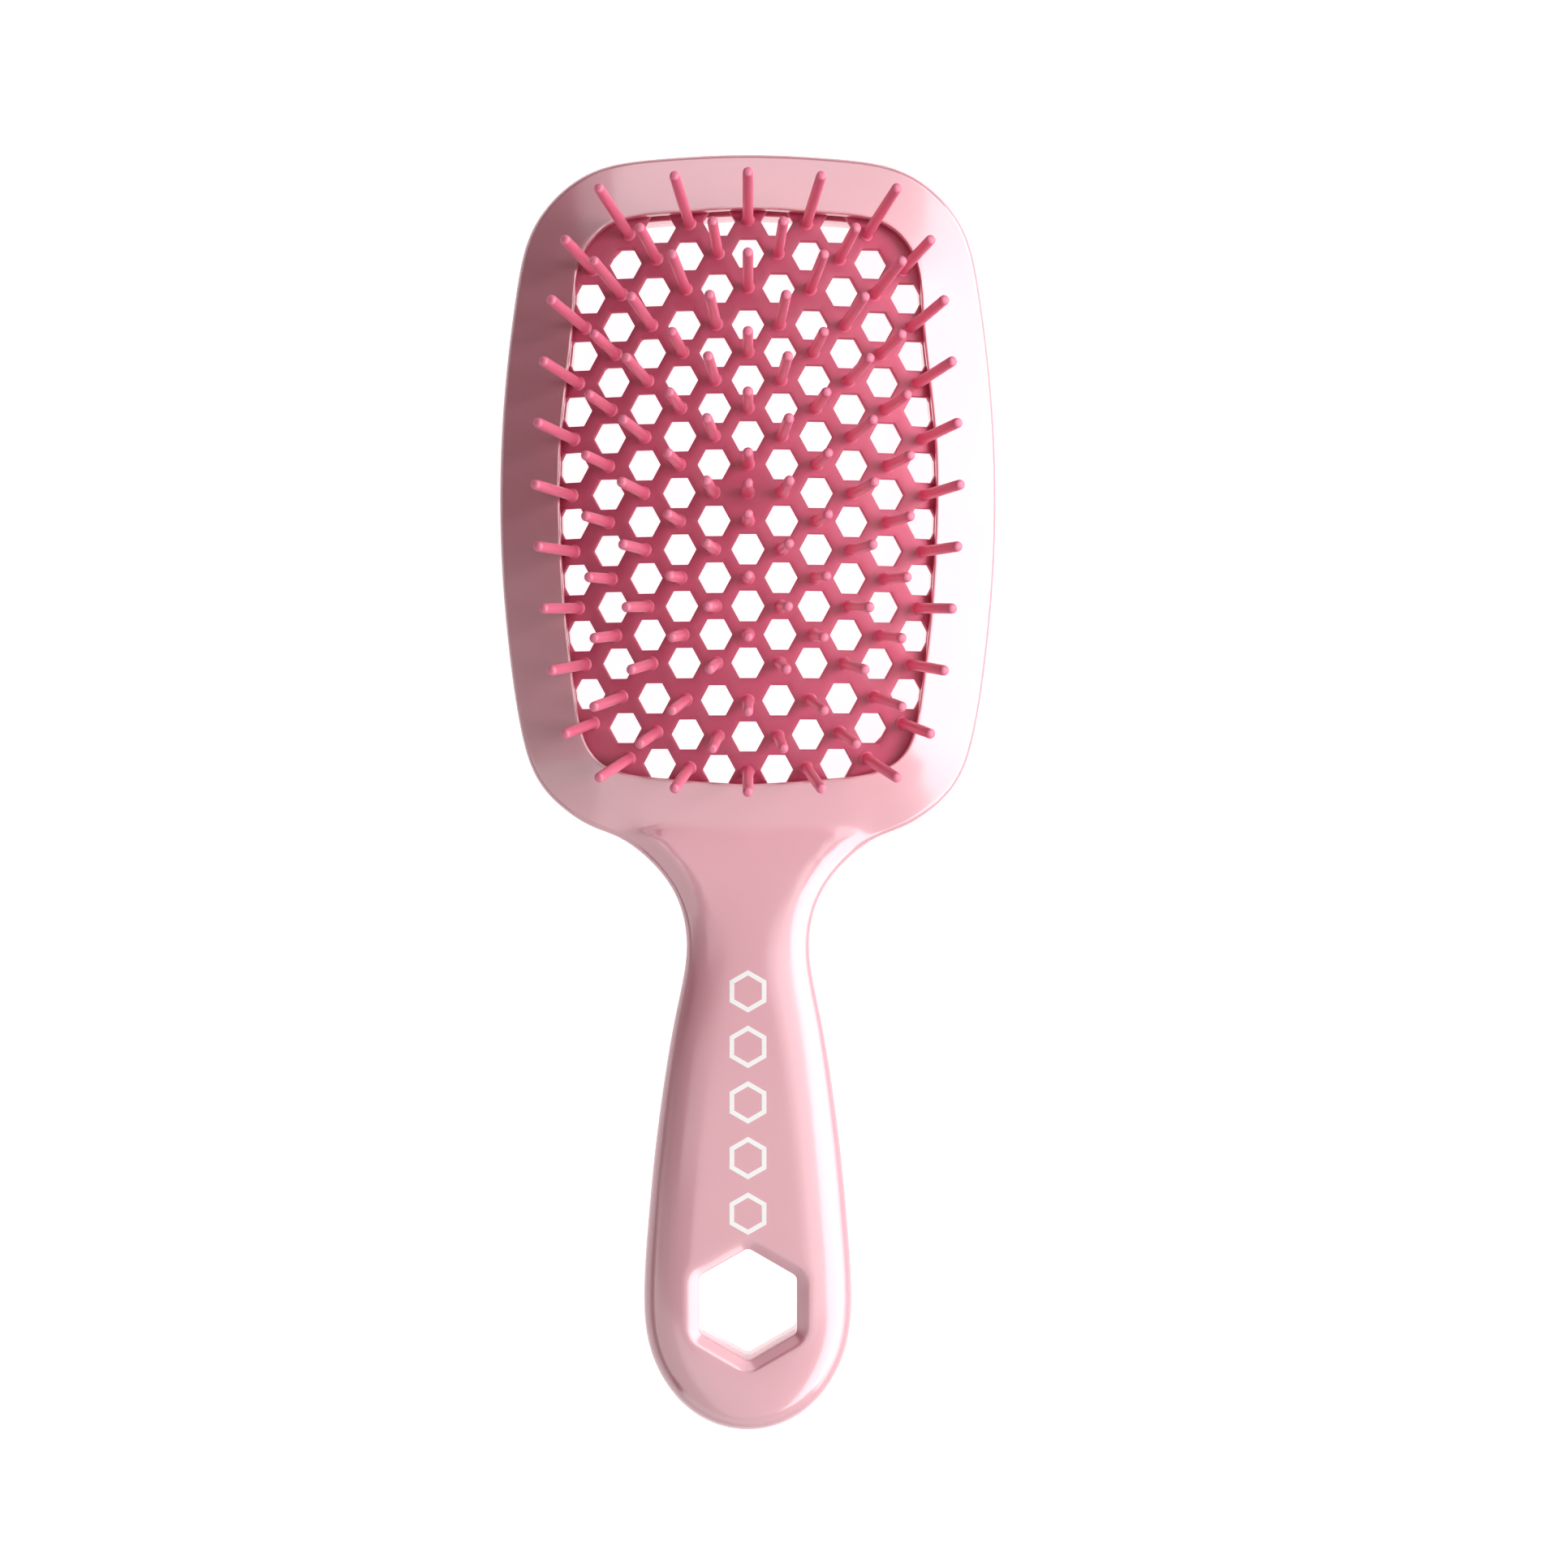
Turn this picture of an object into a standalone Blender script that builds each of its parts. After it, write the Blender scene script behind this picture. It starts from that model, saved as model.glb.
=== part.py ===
"""Vented paddle brush: two half shells, a domed vented pad that presses in, and its pin strips.

Metres, +Z up. The brush lies on its back with the pins up, the head towards +Y and the
handle towards -Y. The origin is the middle of its box, on the surface that it rests on.
"""

import math

import bmesh
import bpy
from mathutils import Vector
from mathutils.geometry import delaunay_2d_cdt

MM = 0.001
GAP = 0.3 * MM

# Right half of each outline, from the head's end to the handle's end, as the control points of a
# closed cubic B-spline, in millimetres.
OUTLINE = [
    (0, 117.9), (17.6, 116.8), (30.1, 115.3), (40.4, 105.2), (42.7, 93.3), (45.4, 71.7),
    (46.0, 49.5), (44.7, 29.8), (41.9, 9.1), (38.3, -0.1), (28.9, -7.0), (23.2, -7.7),
    (12.7, -17.1), (10.4, -29.4), (13.7, -41.0), (16.9, -62.8), (18.1, -75.4), (19.6, -93.3),
    (18.4, -104.3), (11.4, -114.9), (0, -118.8),
]
WINDOW = [
    (0, 106.9), (13.9, 105.5), (26.4, 105.0), (32.0, 95.9), (31.3, 87.9), (34.1, 67.5),
    (34.6, 55.7), (33.7, 34.1), (31.8, 19.7), (30.3, 7.4), (24.0, 3.0), (11.9, 2.2), (0, 1.1),
]
HEAD_MIDDLE_Y = 54.2 * MM

# Heights above the surface that the brush rests on.
PARTING_Z = 5.5 * MM
FRONT_Z = 11.0 * MM
LEDGE_Z = 5.3 * MM
WALL = 1.8 * MM
FRONT_EDGE_WIDTH = 7.2 * MM
BACK_EDGE_WIDTH = 6.0 * MM
EDGE_STEPS = 4
EDGE_WALL = 0.8 * MM

# Hanging hole in the handle.
HANG_Y = -93.8 * MM
HANG_FLATS = 18.0 * MM
HANG_CORNER = 1.5 * MM
HANG_RIM_FLATS = 22.6 * MM
HANG_RIM_CORNER = 4.0 * MM
HANG_BEVEL_DEPTH = 2.4 * MM

# Domed pad.
PAD_THICK = 1.2 * MM
PAD_RIM_TOP_Z = 8.4 * MM
PAD_RISE = 5.8 * MM
PAD_RADIUS_X = 0.112
PAD_RADIUS_Y = 0.275
FAN_RADIUS_X = 0.112
FAN_RADIUS_Y = 0.298
FAN_MIDDLE_Y = 8.0 * MM
PAD_FLANGE = 3.0 * MM
PAD_HALF_X = 34.4 * MM
PAD_HALF_Y = 52.2 * MM
PAD_SIDE_BOW = 2.2
PAD_FADE = 0.045

# The kind of flat fill that keeps the triangles inside the outer edge. Triangles between the
# corners of one hole are dropped afterwards.
INSIDE_THE_EDGES = 1

# Lattice of vents and pins: they alternate along each row and each column.
COLUMNS = 5
ROWS = 9
PITCH_X = 6.15 * MM
PITCH_X_GROWTH = 0.06 * MM
PITCH_Y = 5.14 * MM
END_PITCH_Y = 7.0 * MM
END_PITCH_LOSS = 0.16 * MM
LAST_EVEN_ROW = 6
END_DRAW_IN = 0.145
END_ROW_BOW = 1.6
VENT_HALF_X = 2.95 * MM
VENT_HALF_Y = 2.68 * MM

# Pins and the rails that join them under the pad.
PIN_BASE_R = 0.95 * MM
PIN_TIP_R = 0.85 * MM
PIN_SIDES = 6
PIN_HOLE_R = PIN_BASE_R + 0.55 * MM
SHORT_PIN = 15.0 * MM
LONG_PIN = 19.0 * MM
SHOULDER_PIN = 18.0 * MM
END_PIN = 22.0 * MM
RAIL_WIDTH = 2.0 * MM
RAIL_THICK = 1.0 * MM
RAIL_GAP = 0.9 * MM
RAIL_END = 0.3 * MM
CENTRE_DISC_R = 2.2 * MM

# Pegs that locate the front shell in bosses of the back shell.
PEG_PLACES = [(0, -6 * MM), (0, -34 * MM), (0, -72 * MM)]
PEG_R = 1.3 * MM
BOSS_R = 3.0 * MM

SHELL_PINK = (0.80, 0.45, 0.50, 1)
CUSHION_PINK = (0.70, 0.16, 0.27, 1)


def clear_scene():
    for obj in list(bpy.data.objects):
        bpy.data.objects.remove(obj)


def new_collection(name, hidden=False):
    collection = bpy.data.collections.new(name)
    bpy.context.scene.collection.children.link(collection)
    collection.hide_render = hidden
    return collection


def new_material(name, colour, roughness):
    material = bpy.data.materials.new(name)
    material.use_nodes = True
    shader = material.node_tree.nodes["Principled BSDF"]
    shader.inputs["Base Color"].default_value = colour
    shader.inputs["Roughness"].default_value = roughness
    shader.inputs["Metallic"].default_value = 0
    return material


def add_object(name, bm, collection, material=None):
    mesh = bpy.data.meshes.new(name)
    bm.to_mesh(mesh)
    bm.free()
    obj = bpy.data.objects.new(name, mesh)
    collection.objects.link(obj)
    if material:
        mesh.materials.append(material)
        mesh.shade_smooth()
        mesh.set_sharp_from_angle(angle=math.radians(35))
    else:
        obj.hide_render = True
        obj.display_type = "WIRE"
    return obj


def spline_loop(right_half, steps):
    """Points and outward normals of the closed cubic B-spline whose right half is given, in mm."""
    left_half = [(-x, y) for x, y in reversed(right_half[1:-1])]
    control = [Vector(point) * MM for point in right_half + left_half]
    loop = []
    for i in range(len(control)):
        a, b, c, d = (control[(i + k - 1) % len(control)] for k in range(4))
        for step in range(steps):
            t = step / steps
            point = (a * (1 - t) ** 3 + b * (3 * t**3 - 6 * t**2 + 4)
                     + c * (-3 * t**3 + 3 * t**2 + 3 * t + 1) + d * t**3) / 6
            along = (-a * (1 - t) ** 2 + b * (3 * t**2 - 4 * t)
                     + c * (-3 * t**2 + 2 * t + 1) + d * t**2).normalized()
            loop.append((point, Vector((-along.y, along.x))))
    return loop


def inset(loop, distance):
    return [point - normal * distance for point, normal in loop]


def rounded_hexagon(flats, corner, middle_y, steps=3):
    """A hexagon with its points towards +Y and -Y, with round corners."""
    reach = (flats / 2 - corner) / math.cos(math.radians(30))
    loop = []
    for i in range(6):
        middle = math.radians(90 - 60 * i)
        for k in range(steps):
            angle = middle + math.radians(30 - 60 * k / (steps - 1))
            loop.append(Vector((reach * math.cos(middle) + corner * math.cos(angle),
                                middle_y + reach * math.sin(middle) + corner * math.sin(angle))))
    return loop


def add_ring(bm, loop, z):
    return [bm.verts.new((point.x, point.y, z)) for point in loop]


def join_rings(bm, first, second):
    for i in range(len(first)):
        k = (i + 1) % len(first)
        bm.faces.new((first[i], first[k], second[k], second[i]))


def ring_edges(bm, ring):
    found = []
    for i, vert in enumerate(ring):
        after = ring[(i + 1) % len(ring)]
        found.append(bm.edges.get((vert, after)) or bm.edges.new((vert, after)))
    return found


def half_shell(name, face_z, edge_z, edge_width, collection, material):
    """One half shell as an open surface: a rounded edge, a flat face, and the holes through it."""
    bm = bmesh.new()
    outline = spline_loop(OUTLINE, 2)
    side = 1 if face_z > edge_z else -1
    start_z = edge_z + side * EDGE_WALL
    rings = [add_ring(bm, inset(outline, 0), edge_z)]
    for step in range(EDGE_STEPS + 1):
        angle = math.radians(90 * step / EDGE_STEPS)
        rings.append(add_ring(bm, inset(outline, edge_width * (1 - math.cos(angle))),
                              start_z + (face_z - start_z) * math.sin(angle)))
    for first, second in zip(rings, rings[1:]):
        join_rings(bm, first, second)
    window = add_ring(bm, inset(spline_loop(WINDOW, 2), 0), face_z)
    rim = add_ring(bm, rounded_hexagon(HANG_RIM_FLATS, HANG_RIM_CORNER, HANG_Y), face_z)
    throat = rounded_hexagon(HANG_FLATS, HANG_CORNER, HANG_Y)
    bevel = add_ring(bm, throat, face_z - side * HANG_BEVEL_DEPTH)
    sleeve = add_ring(bm, throat, edge_z)
    join_rings(bm, rim, bevel)
    join_rings(bm, bevel, sleeve)
    flat = [edge for ring in (rings[-1], window, rim) for edge in ring_edges(bm, ring)]
    filled = bmesh.ops.triangle_fill(bm, use_beauty=True, edges=flat, normal=(0, 0, side))
    face = next(item for item in filled["geom"] if isinstance(item, bmesh.types.BMFace))
    if side < 0:
        join_rings(bm, window, add_ring(bm, inset(spline_loop(WINDOW, 2), 0), LEDGE_Z))
    bmesh.ops.recalc_face_normals(bm, faces=bm.faces)
    face.normal_update()
    if face.normal.z * side < 0:
        bmesh.ops.reverse_faces(bm, faces=bm.faces)
    shell = add_object(name, bm, collection, material)
    thick = shell.modifiers.new("wall", "SOLIDIFY")
    thick.thickness = WALL
    thick.offset = -1
    thick.use_even_offset = True
    return shell


def upright_cylinders(name, places, radius, low, high, collection):
    bm = bmesh.new()
    for x, y in places:
        made = bmesh.ops.create_cone(bm, cap_ends=True, segments=10, radius1=radius,
                                     radius2=radius, depth=high - low)
        bmesh.ops.translate(bm, verts=made["verts"], vec=(x, y, (low + high) / 2))
    return add_object(name, bm, collection)


def add_boolean(obj, other, operation):
    boolean = obj.modifiers.new(other.name, "BOOLEAN")
    boolean.operation = operation
    boolean.object = other
    boolean.solver = "EXACT"


def lattice_site(column, row):
    """Place in the pad of lattice point (column, row), seen from above, from the pad's middle."""
    across, along = abs(column), abs(row)
    reach = PITCH_X * across + PITCH_X_GROWTH * across * across
    x = math.copysign(reach * (1 - END_DRAW_IN * (along / ROWS) ** 1.7), column) if column else 0
    even_rows = min(along, LAST_EVEN_ROW)
    end_rows = along - even_rows
    bow = END_ROW_BOW * end_rows * x * x
    y = PITCH_Y * even_rows + (END_PITCH_Y - END_PITCH_LOSS * end_rows) * end_rows - bow
    return x, math.copysign(y, row) if row else 0


def pad_point(x, y):
    """The pad's upper face over (x, y) from the pad's middle, and the direction its pins point."""
    fall = x * x / (2 * PAD_RADIUS_X) + y * y / (2 * PAD_RADIUS_Y)
    left = 1 - fall / PAD_RISE
    half_x = PAD_HALF_X - PAD_SIDE_BOW * y * y
    inside = 1 - ((abs(x) / half_x) ** 8 + (abs(y) / PAD_HALF_Y) ** 8) ** (1 / 8)
    fade = min(1, max(0, inside / PAD_FADE))
    lift = PAD_RISE * (left + math.sqrt(left * left + 0.02)) / 2 * fade * fade * (3 - 2 * fade)
    normal = Vector((x / FAN_RADIUS_X, (y - FAN_MIDDLE_Y) / FAN_RADIUS_Y, 1)).normalized()
    return Vector((x, y + HEAD_MIDDLE_Y, PAD_RIM_TOP_Z + lift)), normal


def is_vent(column, row):
    if (column, row) == (0, 0) or (abs(column), abs(row)) == (COLUMNS, ROWS):
        return False
    return (column + row) % 2 == 0


def lattice():
    for column in range(-COLUMNS, COLUMNS + 1):
        for row in range(-ROWS, ROWS + 1):
            yield column, row


def hexagon(middle, half_x, half_y):
    corners = [math.radians(60 * i) for i in range(6)]
    ratio = half_y / math.sin(math.radians(60))
    return [(middle[0] + half_x * math.cos(a), middle[1] + ratio * math.sin(a)) for a in corners]


def make_pad(collection, material):
    """An open sheet with all its holes, filled flat, laid over the dome and made solid."""
    loops = [[(p.x, p.y - HEAD_MIDDLE_Y) for p in inset(spline_loop(WINDOW, 2), -PAD_FLANGE)]]
    for column, row in lattice():
        site = lattice_site(column, row)
        if is_vent(column, row):
            loops.append(hexagon(site, VENT_HALF_X, VENT_HALF_Y))
        elif (column + row) % 2 or (column, row) == (0, 0):
            loops.append(hexagon(site, PIN_HOLE_R, PIN_HOLE_R * math.sin(math.radians(60))))
    points = [Vector(point) for loop in loops for point in loop]
    loop_of = [number for number, loop in enumerate(loops) for _ in loop]
    edges = []
    for loop in loops:
        first = len(edges)
        edges += [(first + i, first + (i + 1) % len(loop)) for i in range(len(loop))]
    filled = delaunay_2d_cdt(points, edges, [], INSIDE_THE_EDGES, 1e-7)
    bm = bmesh.new()
    verts = [bm.verts.new(pad_point(x, y)[0]) for x, y in filled[0]]
    for face in filled[2]:
        touched = {loop_of[filled[3][i][0]] for i in face}
        if len(touched) > 1 or touched == {0}:
            bm.faces.new([verts[i] for i in face])
    bm.normal_update()
    pad = add_object("cushion_pad", bm, collection, material)
    thick = pad.modifiers.new("thickness", "SOLIDIFY")
    thick.thickness = PAD_THICK
    thick.offset = -1
    return pad


def pin_length(column, row):
    along = abs(row)
    if along == ROWS:
        return END_PIN
    if along > LAST_EVEN_ROW:
        return SHOULDER_PIN
    return LONG_PIN if column % 2 else SHORT_PIN


def under_pad(column, row):
    """The middle of the rail under a pin's site, and the direction that the pin points."""
    upper, normal = pad_point(*lattice_site(column, row))
    return upper - normal * (PAD_THICK + RAIL_GAP + RAIL_THICK / 2), normal


def add_pin(bm, column, row):
    """A tapered pin with a blunt tip, from the middle of its rail to its length above the pad."""
    foot, normal = under_pad(column, row)
    depth = pin_length(column, row) + PAD_THICK + RAIL_GAP + RAIL_THICK / 2
    made = bmesh.ops.create_cone(bm, cap_ends=True, segments=PIN_SIDES, radius1=PIN_BASE_R,
                                 radius2=PIN_TIP_R, depth=depth)
    tip = max((face for vert in made["verts"] for face in vert.link_faces),
              key=lambda face: face.calc_center_median().z)
    blunt = bmesh.ops.extrude_discrete_faces(bm, faces=[tip])["faces"][0]
    bmesh.ops.scale(bm, verts=blunt.verts, vec=(0.6, 0.6, 1))
    bmesh.ops.translate(bm, verts=blunt.verts, vec=(0, 0, PIN_TIP_R / 2))
    verts = set(made["verts"]) | set(blunt.verts)
    turn = Vector((0, 0, 1)).rotation_difference(normal)
    bmesh.ops.translate(bm, verts=list(verts), vec=(0, 0, depth / 2))
    bmesh.ops.rotate(bm, verts=list(verts), matrix=turn.to_matrix())
    bmesh.ops.translate(bm, verts=list(verts), vec=foot)


def make_rail(name, sites, collection, material):
    """A flat bar that runs under the pad from pin to pin, a little past the last one."""
    stations = [under_pad(*site) for site in sites]
    points = [point for point, normal in stations]
    points[0] = points[0] + (points[0] - points[1]).normalized() * RAIL_END
    points[-1] = points[-1] + (points[-1] - points[-2]).normalized() * RAIL_END
    bm = bmesh.new()
    rings = []
    for i, (point, (_, normal)) in enumerate(zip(points, stations)):
        along = (points[min(i + 1, len(points) - 1)] - points[max(i - 1, 0)]).normalized()
        side = along.cross(normal).normalized() * RAIL_WIDTH / 2
        up = side.cross(along).normalized() * RAIL_THICK / 2
        corners = (side + up, up - side, -side - up, side - up)
        rings.append([bm.verts.new(point + corner) for corner in corners])
    for first, second in zip(rings, rings[1:]):
        join_rings(bm, first, second)
    bm.faces.new(rings[0])
    bm.faces.new(rings[-1])
    bmesh.ops.recalc_face_normals(bm, faces=bm.faces)
    return add_object(name, bm, collection, material)


def make_pin_strips(collection, cutters, material):
    """Pins stand in diagonal strips, so that each rail stays under the webs between vents."""
    widest = COLUMNS + ROWS - 1
    for number, diagonal in enumerate(range(-widest, widest + 1, 2), 1):
        sites = [site for site in lattice() if site[0] - site[1] == diagonal]
        strip = make_rail(f"pin_strip_{number:02d}", sites, collection, material)
        bm = bmesh.new()
        for column, row in sites:
            add_pin(bm, column, row)
        add_boolean(strip, add_object(f"pins_{number:02d}", bm, cutters), "UNION")


def make_centre_pin(collection, cutters, material):
    bm = bmesh.new()
    add_pin(bm, 0, 0)
    pin = add_object("centre_pin", bm, collection, material)
    foot, _ = under_pad(0, 0)
    disc = upright_cylinders("centre_disc", [(foot.x, foot.y)], CENTRE_DISC_R,
                             foot.z - RAIL_THICK / 2, foot.z + RAIL_THICK / 2, cutters)
    add_boolean(pin, disc, "UNION")


def make_shells(collection, cutters, material):
    front = half_shell("front_shell", FRONT_Z, PARTING_Z + GAP / 2, FRONT_EDGE_WIDTH,
                       collection, material)
    back = half_shell("back_shell", 0, PARTING_Z - GAP / 2, BACK_EDGE_WIDTH,
                      collection, material)
    pegs = upright_cylinders("pegs", PEG_PLACES, PEG_R, 3.0 * MM, FRONT_Z - WALL / 2, cutters)
    bosses = upright_cylinders("bosses", PEG_PLACES, BOSS_R, WALL / 2,
                               FRONT_Z - WALL - 2 * GAP, cutters)
    sockets = upright_cylinders("sockets", PEG_PLACES, PEG_R + 1.2 * GAP, WALL + GAP,
                                FRONT_Z, cutters)
    add_boolean(front, pegs, "UNION")
    add_boolean(back, bosses, "UNION")
    add_boolean(back, sockets, "DIFFERENCE")


def main():
    clear_scene()
    parts = new_collection("paddle_brush")
    cutters = new_collection("cutters", hidden=True)
    shell_pink = new_material("shell_pink", SHELL_PINK, 0.2)
    cushion_pink = new_material("cushion_pink", CUSHION_PINK, 0.45)
    make_shells(parts, cutters, shell_pink)
    make_pad(parts, cushion_pink)
    make_pin_strips(parts, cutters, cushion_pink)
    make_centre_pin(parts, cutters, cushion_pink)


main()
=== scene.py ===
"""Looks of the vented paddle brush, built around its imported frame.

Each piece is worked out from the same few sizes as the solids: the outline and the window are
closed cubic B-splines, the front is a height over the plane, and vents and pins stand on one
lattice. Metres, +Z up, pins up, head towards +Y.
"""

import math

import bmesh
import bpy
import numpy as np
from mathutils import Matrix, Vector
from mathutils.geometry import delaunay_2d_cdt


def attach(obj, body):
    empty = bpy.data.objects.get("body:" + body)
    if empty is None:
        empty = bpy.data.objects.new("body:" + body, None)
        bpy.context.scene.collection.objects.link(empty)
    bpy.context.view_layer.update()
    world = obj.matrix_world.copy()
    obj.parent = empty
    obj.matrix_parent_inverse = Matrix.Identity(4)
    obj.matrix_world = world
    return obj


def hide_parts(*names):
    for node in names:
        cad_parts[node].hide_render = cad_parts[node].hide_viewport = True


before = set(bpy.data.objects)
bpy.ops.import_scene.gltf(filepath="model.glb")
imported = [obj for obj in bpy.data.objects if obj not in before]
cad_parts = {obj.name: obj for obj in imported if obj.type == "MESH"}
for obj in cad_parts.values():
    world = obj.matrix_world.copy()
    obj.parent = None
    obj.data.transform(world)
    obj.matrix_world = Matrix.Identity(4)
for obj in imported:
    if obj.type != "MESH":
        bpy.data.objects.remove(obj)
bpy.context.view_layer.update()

MM = 0.001

# Right half of each outline as the control points of a closed cubic B-spline, in millimetres.
OUTLINE = [
    (0, 117.9), (17.6, 116.8), (30.1, 115.3), (40.4, 105.2), (42.7, 93.3), (45.4, 71.7),
    (46.0, 49.5), (44.7, 29.8), (41.9, 9.1), (38.3, -0.1), (28.9, -7.0), (23.2, -7.7),
    (12.7, -17.1), (10.4, -29.4), (13.7, -41.0), (16.9, -62.8), (18.1, -75.4), (19.6, -93.3),
    (18.4, -104.3), (11.4, -114.9), (0, -118.8),
]
WINDOW = [
    (0, 106.9), (13.9, 105.5), (26.4, 105.0), (32.0, 95.9), (31.3, 87.9), (34.1, 67.5),
    (34.6, 55.7), (33.7, 34.1), (31.8, 19.7), (30.3, 7.4), (24.0, 3.0), (11.9, 2.2), (0, 1.1),
]
HEAD_MIDDLE_Y = 54.2

# Heights in millimetres above the surface that the brush rests on.
SEAM_Z = 5.5
SEAM_GAP = 0.12
FRONT_Z = 11.0
LIP_UNDER_Z = 9.2
LIP_ROUND = 0.4
LIP_DROP = 0.16
CHANNEL_WIDTH = 3.7
LEDGE_Z = 5.3
BACK_EDGE_Z = 4.7
BACK_ROUND = 6.5
BACK_WINDOW_ROUND = 0.6
BACK_HOLE_ROUND = 1.2

# The small round where a shell meets the seam, as (distance inside the outline, rise).
SEAM_ROUND = ((0.12, 0), (0.03, 0.03), (0, 0.12))
# Distances inside the outline at which the front face has a ring of points.
FRONT_RINGS = (0, 0.02, 0.07, 0.15, 0.27, 0.42, 0.6, 0.82, 1.1, 1.5, 2.0, 2.6, 3.3)

# Hanging hole.
HANG_Y = -93.8
HANG_FLATS = 18.0
HANG_CORNER = 1.5
HANG_RIM_FLATS = 22.6
HANG_RIM_CORNER = 4.4
HANG_DEPTH = 1.0
HANG_CORNER_POINTS = 7
HANG_FLAT_POINTS = 5
HANG_CHAMFER = 0.08

# Pad, lattice and pins.
PAD_THICK = 1.2
PAD_RIM_TOP_Z = 8.4
PAD_RISE = 5.8
PAD_RADIUS_X = 112
PAD_RADIUS_Y = 275
FAN_RADIUS_X = 112
FAN_RADIUS_Y = 298
FAN_MIDDLE_Y = 8.0
PAD_FLANGE = 3.0
PAD_HALF_X = 34.4
PAD_HALF_Y = 52.2
PAD_SIDE_BOW = 0.0022
PAD_FADE = 0.045
COLUMNS = 5
ROWS = 9
PITCH_X = 6.15
PITCH_X_GROWTH = 0.06
PITCH_Y = 5.14
END_PITCH_Y = 7.0
END_PITCH_LOSS = 0.16
LAST_EVEN_ROW = 6
END_DRAW_IN = 0.145
END_ROW_BOW = 0.0016
VENT_HALF_X = 3.02
VENT_HALF_Y = 2.76
VENT_CORNER = 0.15
VENT_ROUND = 0.14
PIN_HOLE_R = 1.3
PIN_R = 0.98
PIN_TIP_R = 0.93
PIN_TIP_ROUND = 0.72
PIN_STEM_Z = 1.7
PIN_SIDES = 18
SHORT_PIN = 15.0
LONG_PIN = 19.0
END_PINS = (20.0, 16.8, 22.8)
RAIL_WIDTH = 1.3
RAIL_THICK = 0.7
RAIL_GAP = 0.02
RAIL_END = 0.6
CENTRE_DISC_R = 2.2

# Print on the handle: a row of hexagon outlines, each as (radius, height above the face) rings.
PRINT_TOP_Y = -36.5
PRINT_BOTTOM_Y = -77.0
PRINT_COUNT = 5
PRINT_PROFILE = ((3.9, -0.02), (3.88, 0.035), (2.92, 0.035), (2.9, -0.02))


# ---------------------------------------------------------------- outlines

def spline_loop(right_half, steps):
    """Points and outward normals (two arrays, mm) of the closed cubic B-spline."""
    left_half = [(-x, y) for x, y in reversed(right_half[1:-1])]
    control = np.array(right_half + left_half, float)
    t = (np.arange(steps) / steps)[:, None]
    points, along = [], []
    for i in range(len(control)):
        a, b, c, d = (control[(i + k - 1) % len(control)] for k in range(4))
        points.append((a * (1 - t) ** 3 + b * (3 * t**3 - 6 * t**2 + 4)
                       + c * (-3 * t**3 + 3 * t**2 + 3 * t + 1) + d * t**3) / 6)
        along.append((-a * (1 - t) ** 2 + b * (3 * t**2 - 4 * t)
                      + c * (-3 * t**2 + 2 * t + 1) + d * t**2) / 2)
    points, along = np.concatenate(points), np.concatenate(along)
    along /= np.linalg.norm(along, axis=1)[:, None]
    return points, np.stack([-along[:, 1], along[:, 0]], axis=1)


def rounded_hexagon(flats, corner):
    """Points and outward normals of the hanging hole: a hexagon that points to +Y and -Y."""
    reach = (flats / 2 - corner) / math.cos(math.radians(30))
    points, normals = [], []
    for i in range(6):
        middle = math.radians(90 - 60 * i)
        centre = np.array([reach * math.cos(middle), HANG_Y + reach * math.sin(middle)])
        for k in range(HANG_CORNER_POINTS):
            angle = middle + math.radians(30 - 60 * k / (HANG_CORNER_POINTS - 1))
            normal = np.array([math.cos(angle), math.sin(angle)])
            points.append(centre + corner * normal)
            normals.append(normal)
        after = math.radians(90 - 60 * (i + 1))
        target = np.array([reach * math.cos(after), HANG_Y + reach * math.sin(after)])
        for k in range(1, HANG_FLAT_POINTS):
            points.append(centre + (target - centre) * k / HANG_FLAT_POINTS + corner * normal)
            normals.append(normal)
    return np.array(points), np.array(normals)


OUTLINE_LOOP = spline_loop(OUTLINE, 10)
WINDOW_LOOP = spline_loop(WINDOW, 12)


def distance_to(loop, places):
    """Distance from each place to a closed polyline."""
    run = np.roll(loop, -1, axis=0) - loop
    length = (run**2).sum(axis=1)
    found = []
    for chunk in np.array_split(places, max(1, len(places) // 2000)):
        rel = chunk[:, None, :] - loop[None]
        t = np.clip((rel * run[None]).sum(axis=2) / length[None], 0, 1)
        gap = rel - t[:, :, None] * run[None]
        found.append(np.sqrt((gap**2).sum(axis=2).min(axis=1)))
    return np.concatenate(found)


def inside_of(loop, places):
    """Whether each place lies inside a closed polyline."""
    x, y = places[:, 0], places[:, 1]
    inside = np.zeros(len(places), bool)
    for a, b in zip(loop, np.roll(loop, -1, axis=0)):
        crosses = (a[1] > y) != (b[1] > y)
        with np.errstate(divide="ignore", invalid="ignore"):
            where = (b[0] - a[0]) * (y - a[1]) / (b[1] - a[1]) + a[0]
        inside ^= crosses & (x < where)
    return inside


def smooth_step(value, low, high):
    t = np.clip((value - low) / (high - low), 0, 1)
    return t * t * (3 - 2 * t)


def soft_min(a, b, width):
    return (a + b - np.sqrt((a - b) ** 2 + width**2)) / 2


# ---------------------------------------------------------------- heights

EDGE_START_Z = 5.9
EDGE_ROUND = 0.9
EDGE_SLOPE = 0.42
LAND_SLOPE = 0.345
FOOT_SLOPE = 0.24
FOOT_SPAN = (-14, 4)
HANDLE_ROUND = 10
HANDLE_RISE = 1.9
HANDLE_RISE_SPAN = (8, 80)
NECK_Z = 9.1
NECK_EDGE_SLOPE = 0.2
NECK_SPAN = (-34, -12)
CREASE_Y = -6.3
CREASE_BOW = 0.0028
CREASE_SPAN = (-0.6, 0.4)
BLEND = 0.3


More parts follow.
